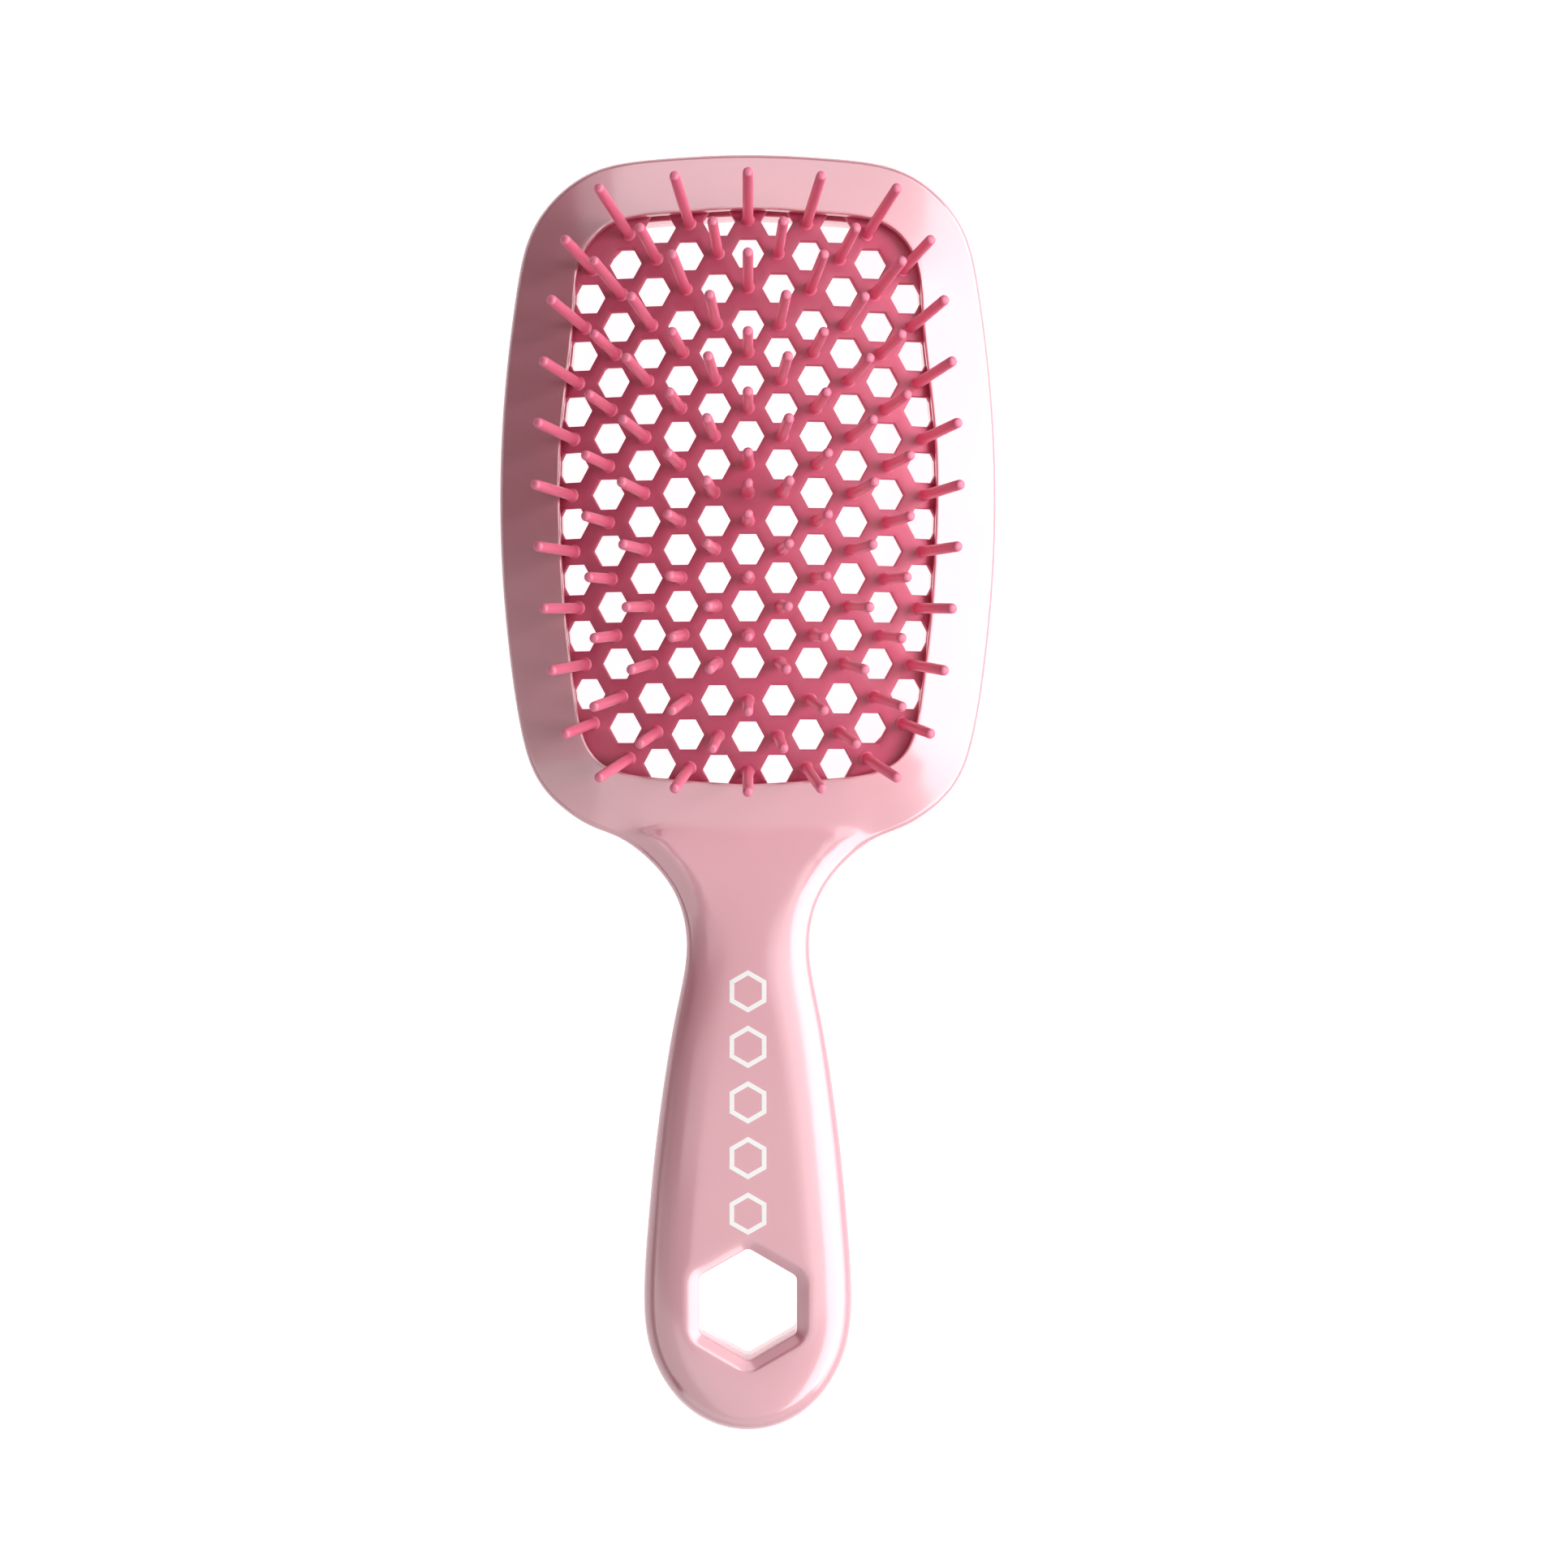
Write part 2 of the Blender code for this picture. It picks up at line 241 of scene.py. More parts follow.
def front_height(places):
    """Height of the front face: a land that slopes away from the window, and a crowned handle.

    Below the window the land ends at a shallow crease, where the neck's flat panel begins.
    """
    depth = distance_to(OUTLINE_LOOP[0], places)
    away = distance_to(WINDOW_LOOP[0], places)
    x, y = places[:, 0], places[:, 1]
    t = np.clip(depth / EDGE_ROUND, 0, 1)
    edge = EDGE_START_Z + EDGE_ROUND * np.sqrt(1 - (1 - t) ** 2) + EDGE_SLOPE * depth
    slope = LAND_SLOPE + (FOOT_SLOPE - LAND_SLOPE) * smooth_step(-y, *FOOT_SPAN)
    land = soft_min(FRONT_Z - slope * away, edge, BLEND)
    panel = soft_min(NECK_Z, edge + NECK_EDGE_SLOPE * depth, BLEND)
    t = np.clip(depth / HANDLE_ROUND, 0, 1)
    spine = NECK_Z + HANDLE_RISE * smooth_step(-y, *HANDLE_RISE_SPAN)
    crown = EDGE_START_Z + (spine - EDGE_START_Z) * (1 - (1 - t) ** 2.3) ** (1 / 1.9)
    neck = smooth_step(y, *NECK_SPAN)
    handle = smooth_step(CREASE_Y - CREASE_BOW * x * x - y, *CREASE_SPAN)
    return land * (1 - handle) + (crown * (1 - neck) + panel * neck) * handle


def pad_surface(places):
    """Points on the pad's upper face over (x, y) from the pad's middle, and the pin directions."""
    x, y = places[:, 0], places[:, 1]
    left = 1 - (x * x / (2 * PAD_RADIUS_X) + y * y / (2 * PAD_RADIUS_Y)) / PAD_RISE
    half_x = PAD_HALF_X - PAD_SIDE_BOW * y * y
    inside = 1 - ((abs(x) / half_x) ** 8 + (abs(y) / PAD_HALF_Y) ** 8) ** (1 / 8)
    lift = PAD_RISE * (left + np.sqrt(left * left + 0.02)) / 2 * smooth_step(inside, 0, PAD_FADE)
    points = np.stack([x, y + HEAD_MIDDLE_Y, PAD_RIM_TOP_Z + lift], axis=1)
    normals = np.stack([x / FAN_RADIUS_X, (y - FAN_MIDDLE_Y) / FAN_RADIUS_Y, np.ones(len(x))],
                       axis=1)
    return points, normals / np.linalg.norm(normals, axis=1)[:, None]


# ---------------------------------------------------------------- lattice

def lattice():
    for column in range(-COLUMNS, COLUMNS + 1):
        for row in range(-ROWS, ROWS + 1):
            yield column, row


def lattice_site(column, row):
    across, along = abs(column), abs(row)
    reach = PITCH_X * across + PITCH_X_GROWTH * across * across
    x = math.copysign(reach * (1 - END_DRAW_IN * (along / ROWS) ** 1.7), column) if column else 0
    even_rows = min(along, LAST_EVEN_ROW)
    end_rows = along - even_rows
    bow = END_ROW_BOW * end_rows * x * x
    y = PITCH_Y * even_rows + (END_PITCH_Y - END_PITCH_LOSS * end_rows) * end_rows - bow
    return x, math.copysign(y, row) if row else 0


def is_vent(column, row):
    if (column, row) == (0, 0) or (abs(column), abs(row)) == (COLUMNS, ROWS):
        return False
    return (column + row) % 2 == 0


def is_pin(column, row):
    return (column + row) % 2 == 1 or (column, row) == (0, 0)


def pin_length(column, row):
    along = abs(row)
    if along > LAST_EVEN_ROW:
        return END_PINS[along - LAST_EVEN_ROW - 1]
    return LONG_PIN if column % 2 else SHORT_PIN


# ---------------------------------------------------------------- mesh helpers

def add_ring(bm, points, heights):
    heights = np.broadcast_to(heights, len(points))
    return [bm.verts.new((x * MM, y * MM, z * MM)) for (x, y), z in zip(points, heights)]


def add_ring_3d(bm, points):
    return [bm.verts.new(point * MM) for point in points]


def join_rings(bm, first, second):
    for i in range(len(first)):
        k = (i + 1) % len(first)
        bm.faces.new((first[i], first[k], second[k], second[i]))


def join_all(bm, rings):
    for first, second in zip(rings, rings[1:]):
        join_rings(bm, first, second)


def cap_ends(bm, rings):
    bm.faces.new(rings[0])
    bm.faces.new(rings[-1])


def fill_between(bm, outer, holes, height=None, spacing=0, margin=0.6):
    """Triangles between an outer ring of vertices and the rings inside it.

    With a height function, points are added on a grid, so that the fill follows the surface.
    """
    rings = [outer] + holes
    verts = [vert for ring in rings for vert in ring]
    flat = [Vector((vert.co.x, vert.co.y)) / MM for vert in verts]
    edges = []
    for ring in rings:
        first = len(edges)
        edges += [(first + i, first + (i + 1) % len(ring)) for i in range(len(ring))]
    loops = [np.array([(v.co.x / MM, v.co.y / MM) for v in ring]) for ring in rings]
    if spacing:
        low, high = loops[0].min(axis=0), loops[0].max(axis=0)
        rows = np.arange(low[1] + spacing / 2, high[1], spacing * 0.866)
        grid = np.array([(x + (spacing / 2 if i % 2 else 0), y) for i, y in enumerate(rows)
                         for x in np.arange(-60, 60, spacing) if low[0] < x < high[0]])
        keep = inside_of(loops[0], grid)
        for loop in loops[1:]:
            keep &= ~inside_of(loop, grid)
        grid = grid[keep]
        for loop in loops:
            grid = grid[distance_to(loop, grid) > margin]
        verts += add_ring(bm, grid, height(grid))
        flat += [Vector(point) for point in grid]
    filled = delaunay_2d_cdt(flat, edges, [], 1, 1e-6)
    places = np.array([tuple(point) for point in filled[0]])
    middles = np.array([places[face].mean(axis=0) for face in filled[2]])
    keep = inside_of(loops[0], middles)
    for loop in loops[1:]:
        keep &= ~inside_of(loop, middles)
    for face, wanted in zip(filled[2], keep):
        corners = [verts[filled[3][i][0]] for i in face]
        if wanted and len(set(corners)) == 3:
            bm.faces.new(corners)


def finish_mesh(name, bm, material, sharp=40):
    """Makes an object of the mesh. Edges that turn by more than sharp degrees stay crisp."""
    bmesh.ops.recalc_face_normals(bm, faces=bm.faces)
    mesh = bpy.data.meshes.new(name)
    bm.to_mesh(mesh)
    bm.free()
    mesh.materials.append(material)
    mesh.shade_smooth()
    mesh.set_sharp_from_angle(angle=math.radians(sharp))
    obj = bpy.data.objects.new(name, mesh)
    bpy.context.scene.collection.objects.link(obj)
    return obj


# ---------------------------------------------------------------- shells

def shifted(loop, distance):
    points, normals = loop
    return points + normals * distance


def sink_rings(bm, rim_points, throat_points, rim_heights, steps):
    """Rings from the face down a soft bevel to the throat of the hanging hole."""
    rings = []
    for step in range(steps + 1):
        t = step / steps
        drop = (math.sqrt(t * t + 0.05) - 0.2236) / (math.sqrt(1.05) - 0.2236)
        points = rim_points * (1 - t) + throat_points * t
        heights = rim_heights * (1 - drop) + (FRONT_Z - HANG_DEPTH) * drop
        rings.append(add_ring(bm, points, heights))
    return rings


def seam_rings(bm, seam, up):
    """Rings around the outline at the seam. up is 1 for the front shell, -1 for the back shell."""
    return [add_ring(bm, shifted(OUTLINE_LOOP, -inside), seam + up * rise)
            for inside, rise in SEAM_ROUND]


def build_front_shell(material):
    bm = bmesh.new()
    seam = SEAM_Z + SEAM_GAP / 2
    outer = seam_rings(bm, seam, 1)
    for depth in FRONT_RINGS:
        points = shifted(OUTLINE_LOOP, -depth)
        outer.append(add_ring(bm, points, front_height(points) if depth else EDGE_START_Z))
    join_all(bm, outer)
    lip = []
    for away in (0.75, 0.5):
        points = shifted(WINDOW_LOOP, away)
        lip.append(add_ring(bm, points, front_height(points)))
    for step in range(1, 5):
        angle = math.radians(90 * step / 4)
        points = shifted(WINDOW_LOOP, LIP_ROUND * (1 - math.sin(angle)))
        lip.append(add_ring(bm, points, FRONT_Z - LIP_DROP - LIP_ROUND * (1 - math.cos(angle))))
    lip.append(add_ring(bm, shifted(WINDOW_LOOP, 0), LIP_UNDER_Z))
    lip.append(add_ring(bm, shifted(WINDOW_LOOP, CHANNEL_WIDTH), LIP_UNDER_Z))
    lip.append(add_ring(bm, shifted(WINDOW_LOOP, CHANNEL_WIDTH), seam))
    join_all(bm, lip)
    rim = rounded_hexagon(HANG_RIM_FLATS, HANG_RIM_CORNER)[0]
    throat, out = rounded_hexagon(HANG_FLATS, HANG_CORNER)
    hole = sink_rings(bm, rim, throat + out * 0.12, front_height(rim), 8)
    hole.append(add_ring(bm, throat + out * 0.035, FRONT_Z - HANG_DEPTH - 0.05))
    hole.append(add_ring(bm, throat, FRONT_Z - HANG_DEPTH - 0.14))
    hole.append(add_ring(bm, throat, seam + HANG_CHAMFER))
    hole.append(add_ring(bm, throat + out * HANG_CHAMFER, seam))
    join_all(bm, hole)
    fill_between(bm, outer[-1], [lip[0], hole[0]], front_height, spacing=1.1)
    fill_between(bm, outer[0], [lip[-1], hole[-1]])
    return finish_mesh("front_shell_skin", bm, material)


def build_back_shell(material):
    bm = bmesh.new()
    seam = SEAM_Z - SEAM_GAP / 2
    outer = seam_rings(bm, seam, -1)
    for step in range(15):
        angle = math.radians(90 * step / 14)
        across = BACK_ROUND * (1 - math.cos(angle) ** 0.9)
        height = BACK_EDGE_Z * (1 - math.sin(angle) ** 0.9)
        outer.append(add_ring(bm, shifted(OUTLINE_LOOP, -across), height))
    join_all(bm, outer)
    window = []
    for step in range(5):
        angle = math.radians(90 * step / 4)
        points = shifted(WINDOW_LOOP, BACK_WINDOW_ROUND * (1 - math.sin(angle)))
        window.append(add_ring(bm, points, BACK_WINDOW_ROUND * (1 - math.cos(angle))))
    window.append(add_ring(bm, shifted(WINDOW_LOOP, 0), LEDGE_Z - 0.2))
    window.append(add_ring(bm, shifted(WINDOW_LOOP, 0.2), LEDGE_Z))
    window.append(add_ring(bm, shifted(WINDOW_LOOP, CHANNEL_WIDTH), LEDGE_Z))
    window.append(add_ring(bm, shifted(WINDOW_LOOP, CHANNEL_WIDTH), seam))
    join_all(bm, window)
    throat, out = rounded_hexagon(HANG_FLATS, HANG_CORNER)
    hole = []
    for step in range(6):
        angle = math.radians(90 * step / 5)
        hole.append(add_ring(bm, throat + out * BACK_HOLE_ROUND * (1 - math.sin(angle)),
                             BACK_HOLE_ROUND * (1 - math.cos(angle))))
    hole.append(add_ring(bm, throat, seam - HANG_CHAMFER))
    hole.append(add_ring(bm, throat + out * HANG_CHAMFER, seam))
    join_all(bm, hole)
    fill_between(bm, outer[-1], [window[0], hole[0]])
    fill_between(bm, outer[0], [window[-1], hole[-1]])
    return finish_mesh("back_shell_skin", bm, material)


# ---------------------------------------------------------------- pad and pins

def vent_loop(site, grow):
    """A hexagon with flats towards +Y and -Y and slightly round corners, grown outwards."""
    ratio = VENT_HALF_Y / (VENT_HALF_X * math.sin(math.radians(60)))
    corner = VENT_CORNER + grow
    reach = VENT_HALF_X + grow / math.cos(math.radians(30)) - corner / math.cos(math.radians(30))
    points = []
    for i in range(6):
        middle = math.radians(60 * i)
        for k in (-30, -10, 10, 30):
            angle = middle + math.radians(k)
            points.append((site[0] + reach * math.cos(middle) + corner * math.cos(angle),
                           site[1] + ratio * (reach * math.sin(middle)
                                              + corner * math.sin(angle))))
    return np.array(points)


def circle(site, radius, steps):
    angles = np.arange(steps) * 2 * math.pi / steps
    return np.stack([site[0] + radius * np.cos(angles), site[1] + radius * np.sin(angles)], axis=1)


def build_pad(material):
    bm = bmesh.new()

    def ring(points, depth):
        on_top, normals = pad_surface(points)
        return add_ring_3d(bm, on_top - normals * depth)

    edge = [shifted(WINDOW_LOOP, PAD_FLANGE - gap) - (0, HEAD_MIDDLE_Y) for gap in (0.2, 0)]
    top, bottom, walls = [], [], []
    rims = [ring(edge[0], 0), ring(edge[1], 0.2), ring(edge[1], PAD_THICK - 0.2),
            ring(edge[0], PAD_THICK)]
    join_all(bm, rims)
    for column, row in lattice():
        site = lattice_site(column, row)
        if is_vent(column, row):
            profile = ((VENT_ROUND, 0), (0.04, 0.04), (0, VENT_ROUND),
                       (0, PAD_THICK - VENT_ROUND), (0.04, PAD_THICK - 0.04),
                       (VENT_ROUND, PAD_THICK))
            rings = [ring(vent_loop(site, grow), depth) for grow, depth in profile]
        elif is_pin(column, row):
            rings = [ring(circle(site, PIN_HOLE_R, 12), depth) for depth in (0, PAD_THICK)]
        else:
            continue
        join_all(bm, rings)
        top.append(rings[0])
        bottom.append(rings[-1])
    fill_pad(bm, rims[0], top, under=False)
    fill_pad(bm, rims[-1], bottom, under=True)
    return finish_mesh("pad_honeycomb", bm, material, sharp=50)


def fill_pad(bm, outer, holes, under):
    """Fills one face of the pad between its edge and its holes, with points on the dome."""
    def height(places):
        points, normals = pad_surface(places - (0, HEAD_MIDDLE_Y))
        return points[:, 2] - (PAD_THICK / normals[:, 2] if under else 0)

    fill_between(bm, outer, holes, height, spacing=1.6, margin=0.5)


def pin_profile(length):
    """(radius, height above the pad) from the rail up to the blunt tip."""
    below = PAD_THICK + RAIL_GAP + RAIL_THICK / 2
    profile = [(PIN_R, -below), (PIN_R, -0.3), (1.3, -0.25), (1.33, -0.05), (1.18, 0.05),
               (1.06, 0.18), (1.0, 0.4), (PIN_R, 0.9), (PIN_R, PIN_STEM_Z)]
    tip = PIN_TIP_R
    for step in range(1, 5):
        t = step / 5
        profile.append((PIN_R + (tip - PIN_R) * t, PIN_STEM_Z + (length - PIN_STEM_Z - tip) * t))
    for step in range(7):
        angle = math.radians(90 * step / 7)
        profile.append((tip * math.cos(angle) ** 0.75,
                        length - PIN_TIP_ROUND + PIN_TIP_ROUND * math.sin(angle)))
    return profile


def add_pin(bm, column, row, disc=False):
    """One round pin that leans outwards. The centre pin has a disc of its own below the pad."""
    site = np.array([lattice_site(column, row)])
    foot, normal = pad_surface(site)
    foot, normal = foot[0], Vector(normal[0])
    turn = Vector((0, 0, 1)).rotation_difference(normal)
    profile = pin_profile(pin_length(column, row))
    if disc:
        low = profile[0][1]
        disc_profile = [(2.0, low - 0.5), (CENTRE_DISC_R, low - 0.3), (CENTRE_DISC_R, low + 0.3),
                        (2.0, low + 0.5), (PIN_R, low + 0.5)]
        profile = disc_profile + profile[1:]
    rings = []
    for radius, height in profile:
        ring = []
        for i in range(PIN_SIDES):
            angle = 2 * math.pi * i / PIN_SIDES
            offset = turn @ Vector((radius * math.cos(angle), radius * math.sin(angle), height))
            ring.append(bm.verts.new((Vector(foot) + offset) * MM))
        rings.append(ring)
    join_all(bm, rings)
    cap_ends(bm, rings)


def add_rail(bm, sites):
    """The flat bar under the pad that joins one strip's pins."""
    feet, normals = pad_surface(np.array([lattice_site(*site) for site in sites]))
    feet = feet - normals * (PAD_THICK + RAIL_GAP + RAIL_THICK / 2)
    points = [Vector(foot) for foot in feet]
    points[0] += (points[0] - points[1]).normalized() * RAIL_END
    points[-1] += (points[-1] - points[-2]).normalized() * RAIL_END
    rings = []
    section = [(1, 0.7), (0.85, 1), (-0.85, 1), (-1, 0.7), (-1, -0.7), (-0.85, -1),
               (0.85, -1), (1, -0.7)]
    for i, (point, normal) in enumerate(zip(points, normals)):
        along = (points[min(i + 1, len(points) - 1)] - points[max(i - 1, 0)]).normalized()
        side = along.cross(Vector(normal)).normalized() * RAIL_WIDTH / 2
        up = side.cross(along).normalized() * RAIL_THICK / 2
        rings.append([bm.verts.new((point + side * a + up * b) * MM) for a, b in section])
    join_all(bm, rings)
    cap_ends(bm, rings)


def build_pins(material):
    widest = COLUMNS + ROWS - 1
    pieces = []
    for number, diagonal in enumerate(range(-widest, widest + 1, 2), 1):
        bm = bmesh.new()
        sites = [site for site in lattice() if site[0] - site[1] == diagonal]
        add_rail(bm, sites)
        for column, row in sites:
            add_pin(bm, column, row)
        name = f"pin_strip_{number:02d}"
        pieces.append((finish_mesh(name + "_pins", bm, material, sharp=60), name))
    bm = bmesh.new()
    add_pin(bm, 0, 0, disc=True)
    pieces.append((finish_mesh("centre_pin_round", bm, material, sharp=60), "centre_pin"))
    return pieces


# ---------------------------------------------------------------- print on the handle

def build_print(material):
    """A plain row of little hexagon outlines, a film on the handle's face."""
    bm = bmesh.new()
    pitch = (PRINT_TOP_Y - PRINT_BOTTOM_Y) / (PRINT_COUNT - 1)
    for i in range(PRINT_COUNT):
        y = PRINT_TOP_Y - pitch * i
        angles = np.radians(90 + 60 * np.arange(6))
        rings = []
        for radius, lift in PRINT_PROFILE:
            corner = np.stack([radius * np.cos(angles), y + radius * np.sin(angles)], axis=1)
            points = np.concatenate([corner + (np.roll(corner, -1, axis=0) - corner) * k / 4
                                     for k in range(4)]).reshape(4, 6, 2)
            points = points.transpose(1, 0, 2).reshape(-1, 2)
            rings.append(add_ring(bm, points, front_height(points) + lift))
        join_all(bm, rings)
        join_rings(bm, rings[-1], rings[0])
    return finish_mesh("handle_print", bm, material)


# ---------------------------------------------------------------- materials

def new_material(name):
    material = bpy.data.materials.new(name)
    material.use_nodes = True
    nodes = material.node_tree.nodes
    return material, nodes, material.node_tree.links, nodes["Principled BSDF"]


def noise_node(nodes, links, scale, detail):
    place = nodes.new("ShaderNodeTexCoord")
    noise = nodes.new("ShaderNodeTexNoise")
    noise.inputs["Scale"].default_value = scale
    noise.inputs["Detail"].default_value = detail
    links.new(place.outputs["Object"], noise.inputs["Vector"])
    return noise


def ramp_node(nodes, links, source, low, high):
    ramp = nodes.new("ShaderNodeValToRGB")
    ramp.color_ramp.elements[0].position = 0.3
    ramp.color_ramp.elements[1].position = 0.7
    ramp.color_ramp.elements[0].color = low
    ramp.color_ramp.elements[1].color = high
    links.new(source, ramp.inputs["Fac"])
    return ramp


def moulded_plastic(name, dark, light, rough, grain_scale, grain_depth, coat=0, scatter=0,
                    shine=0.5):
    """Coloured plastic with faint flow marks in its colour and a fine grain in its surface."""
    material, nodes, links, shader = new_material(name)
    flow = noise_node(nodes, links, 45, 3)
    tint = ramp_node(nodes, links, flow.outputs["Fac"], dark, light)
    links.new(tint.outputs["Color"], shader.inputs["Base Color"])
    gloss = noise_node(nodes, links, 160, 4)
    spread = nodes.new("ShaderNodeMapRange")
    spread.inputs["To Min"].default_value = rough * 0.85
    spread.inputs["To Max"].default_value = rough * 1.2
    links.new(gloss.outputs["Fac"], spread.inputs["Value"])
    links.new(spread.outputs["Result"], shader.inputs["Roughness"])
    grain = noise_node(nodes, links, grain_scale, 2)
    bump = nodes.new("ShaderNodeBump")
    bump.inputs["Strength"].default_value = 0.4
    bump.inputs["Distance"].default_value = grain_depth
    links.new(grain.outputs["Fac"], bump.inputs["Height"])
    links.new(bump.outputs["Normal"], shader.inputs["Normal"])
    shader.inputs["IOR"].default_value = 1.5
    shader.inputs["Specular IOR Level"].default_value = shine
    shader.inputs["Coat Weight"].default_value = coat
    shader.inputs["Coat Roughness"].default_value = 0.13
    shader.inputs["Coat IOR"].default_value = 1.7
    shader.inputs["Subsurface Weight"].default_value = scatter
    shader.inputs["Subsurface Radius"].default_value = (1, 0.35, 0.4)
    shader.inputs["Subsurface Scale"].default_value = 0.0012
    return material


def make_materials():
    return {
        "shell": moulded_plastic("shell_pink_gloss", (0.735, 0.28, 0.34, 1),
                                 (0.755, 0.295, 0.355, 1), rough=0.22, grain_scale=1500,
                                 grain_depth=0.000003, coat=1),
        # The pad and the pins are one pink plastic. The pad's colour is darkened to paint the
        # shade it lies in, and the pins' colour is lightened to paint the light they catch.
        "pad": moulded_plastic("pad_pink_satin_painted_shade", (0.52, 0.040, 0.120, 1),
                               (0.55, 0.046, 0.132, 1), rough=0.5, grain_scale=4200,
                               grain_depth=0.00001, scatter=0.1, shine=0.42),
        "pin": moulded_plastic("pin_pink_satin_painted_light", (0.82, 0.155, 0.28, 1),
                               (0.86, 0.17, 0.30, 1), rough=0.45, grain_scale=5200,
                               grain_depth=0.000006, scatter=0.2),
        "print": moulded_plastic("print_white", (0.96, 0.92, 0.91, 1),
                                 (0.98, 0.95, 0.94, 1), rough=0.4, grain_scale=6000,
                                 grain_depth=0.000004, coat=1),
    }


# ---------------------------------------------------------------- stage

# Camera, in millimetres: its height over the seam, and the width of the view at the seam.
CAMERA_HEIGHT = 480
CANVAS_WIDTH = 289.37
OPTICAL_Y = -10.3
SENSOR_WIDTH = 36
LENS_SHIFT_X = 0.0230
LENS_SHIFT_Y = 0.0409


def build_camera():
    data = bpy.data.cameras.new("camera")
    data.sensor_width = SENSOR_WIDTH
    data.lens = SENSOR_WIDTH * CAMERA_HEIGHT / CANVAS_WIDTH
    data.shift_x = LENS_SHIFT_X
    data.shift_y = LENS_SHIFT_Y
    data.clip_start = 0.01
    camera = bpy.data.objects.new("camera", data)
    camera.location = (0, OPTICAL_Y * MM, (CAMERA_HEIGHT + SEAM_Z) * MM)
    bpy.context.scene.collection.objects.link(camera)
    bpy.context.scene.camera = camera


def add_light(name, place, target, size, radiance, mirrored):
    """A rectangular light. It is either seen in reflections only or lights surfaces only."""
    data = bpy.data.lights.new(name, "AREA")
    data.shape = "RECTANGLE"
    data.size, data.size_y = size
    data.energy = radiance * math.pi * size[0] * size[1]
    light = bpy.data.objects.new(name, data)
    light.location = place
    aim = Vector(target) - Vector(place)
    light.rotation_euler = aim.to_track_quat("-Z", "Y").to_euler()
    light.visible_diffuse = not mirrored
    light.visible_glossy = mirrored
    bpy.context.scene.collection.objects.link(light)


# Cards a metre up, in metres: left, right, foot and top edges, and radiance.
CARD_HEIGHT = 1.0
CARDS = {
    "above": (-0.16, 0.12, -0.05, 0.53, 1.7),
    "above_foot": (-0.16, 0.12, -0.34, -0.05, 2.2),
    "above_right": (0.12, 0.24, -0.34, 0.53, 2.8),
    "top_left": (-0.82, -0.40, 0.53, 2.50, 1.2),
    "top": (-0.40, 0.90, 0.53, 2.50, 2.9),
    "top_right": (0.90, 4.00, 0.53, 2.50, 5.6),
    "foot_left": (-3.20, -0.55, -2.40, -0.34, 1.8),
    "foot": (-0.55, 0.80, -2.40, -0.34, 2.5),
    "foot_right": (0.80, 4.00, -2.40, -0.34, 6.0),
    "left_foot": (-6.00, -0.16, -0.34, -0.14, 1.0),
    "left_neck": (-0.62, -0.16, -0.14, 0.03, 1.7),
    "left_hand": (-3.00, -0.62, -0.14, 0.03, 0.7),
    "left_land": (-3.00, -0.16, 0.03, 0.16, 0.55),
    "near_right": (0.24, 0.72, -0.34, 0.15, 3.7),
    "right": (0.72, 4.00, -0.34, 0.15, 6.0),
    "land_right": (0.24, 4.00, 0.15, 0.53, 6.0),
}
# Upright cards that face the brush: place, size and radiance.
UPRIGHT_CARDS = {
    "side": ((2.2, 0, 0.55), (5, 1.1), 4.5),
    "far_left": ((-2.2, 0, 0.5), (4, 1.0), 0.4),
    "far_foot": ((0, -2.45, 0.5), (4.2, 1.0), 2.0),
}
FLOOR_REACH = 10
FLOOR_DROP = 0.0002


def add_cards():
    """White cards whose reflections draw the gloss: dim on the left, bright on the right."""
    for name, (left, right, foot, top, radiance) in CARDS.items():
        middle = ((left + right) / 2, (foot + top) / 2)
        add_light("card_" + name, (*middle, CARD_HEIGHT), (*middle, 0),
                  (right - left, top - foot), radiance, True)
    for name, (place, size, radiance) in UPRIGHT_CARDS.items():
        add_light("card_" + name, place, (0, 0, place[2]), size, radiance, True)


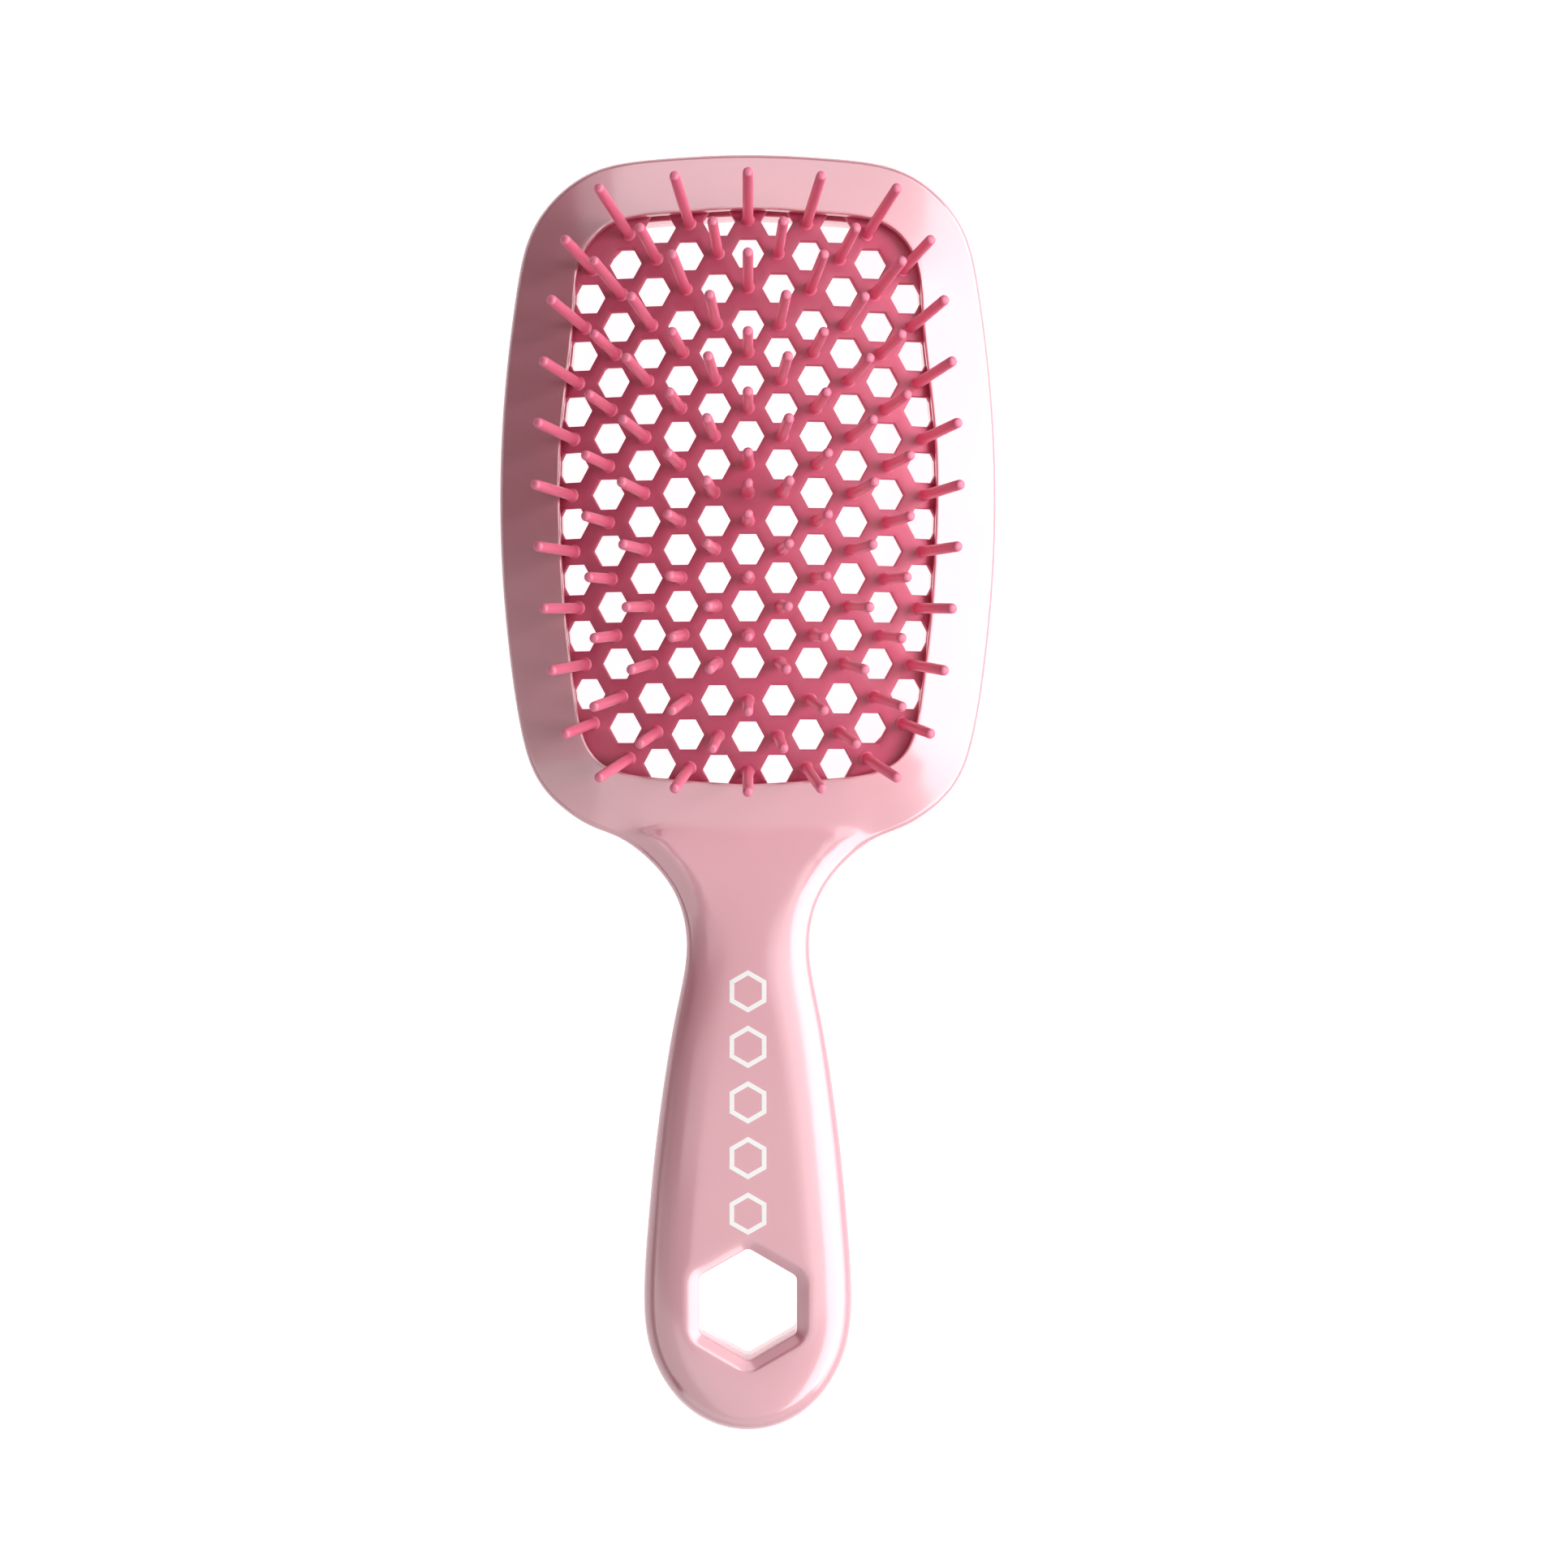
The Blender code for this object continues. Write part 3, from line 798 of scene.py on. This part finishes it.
def stage_piece(name, bm, grey, glow):
    """An object of the stage, with a matte grey that also glows by itself."""
    mesh = bpy.data.meshes.new(name)
    bm.to_mesh(mesh)
    bm.free()
    piece = bpy.data.objects.new(name, mesh)
    bpy.context.scene.collection.objects.link(piece)
    material, _, _, shader = new_material(name + "_white")
    shader.inputs["Base Color"].default_value = (grey, grey, grey, 1)
    shader.inputs["Roughness"].default_value = 0.9
    shader.inputs["Emission Color"].default_value = (1, 1, 1, 1)
    shader.inputs["Emission Strength"].default_value = glow
    mesh.materials.append(material)
    return piece


def build_stage():
    bm = bmesh.new()
    bmesh.ops.create_grid(bm, x_segments=1, y_segments=1, size=FLOOR_REACH)
    floor = stage_piece("floor", bm, 0.5, 0.9)
    floor.location = (0, 0, -FLOOR_DROP)
    # The backdrop is seen by the camera only, so it neither lights nor mirrors in the brush.
    bm = bmesh.new()
    bmesh.ops.create_uvsphere(bm, u_segments=48, v_segments=24, radius=0.9 * FLOOR_REACH)
    backdrop = stage_piece("backdrop", bm, 0, 0.95)
    backdrop.visible_diffuse = False
    backdrop.visible_glossy = False
    backdrop.visible_transmission = False
    backdrop.visible_shadow = False
    world = bpy.data.worlds.new("studio")
    world.use_nodes = True
    background = world.node_tree.nodes["Background"]
    background.inputs["Color"].default_value = (1, 1, 1, 1)
    background.inputs["Strength"].default_value = 0.06
    bpy.context.scene.world = world
    bpy.context.scene.view_settings.view_transform = "Standard"
    add_cards()
    add_light("key", (1.06, 0.15, 0.80), (0, 0, 0), (0.7, 0.9), 9.3, False)
    add_light("fill", (-0.5, -0.5, 0.9), (0, 0, 0), (0.8, 0.8), 1.0, False)


def main():
    build_camera()
    looks = make_materials()
    front = build_front_shell(looks["shell"])
    back = build_back_shell(looks["shell"])
    pad = build_pad(looks["pad"])
    mark = build_print(looks["print"])
    for piece, node in ((front, "front_shell"), (back, "back_shell")):
        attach(piece, "frame")
        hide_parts(node)
    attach(mark, "frame")
    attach(pad, "cushion")
    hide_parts("cushion_pad")
    for piece, node in build_pins(looks["pin"]):
        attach(piece, "cushion")
        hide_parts(node)
    build_stage()


main()
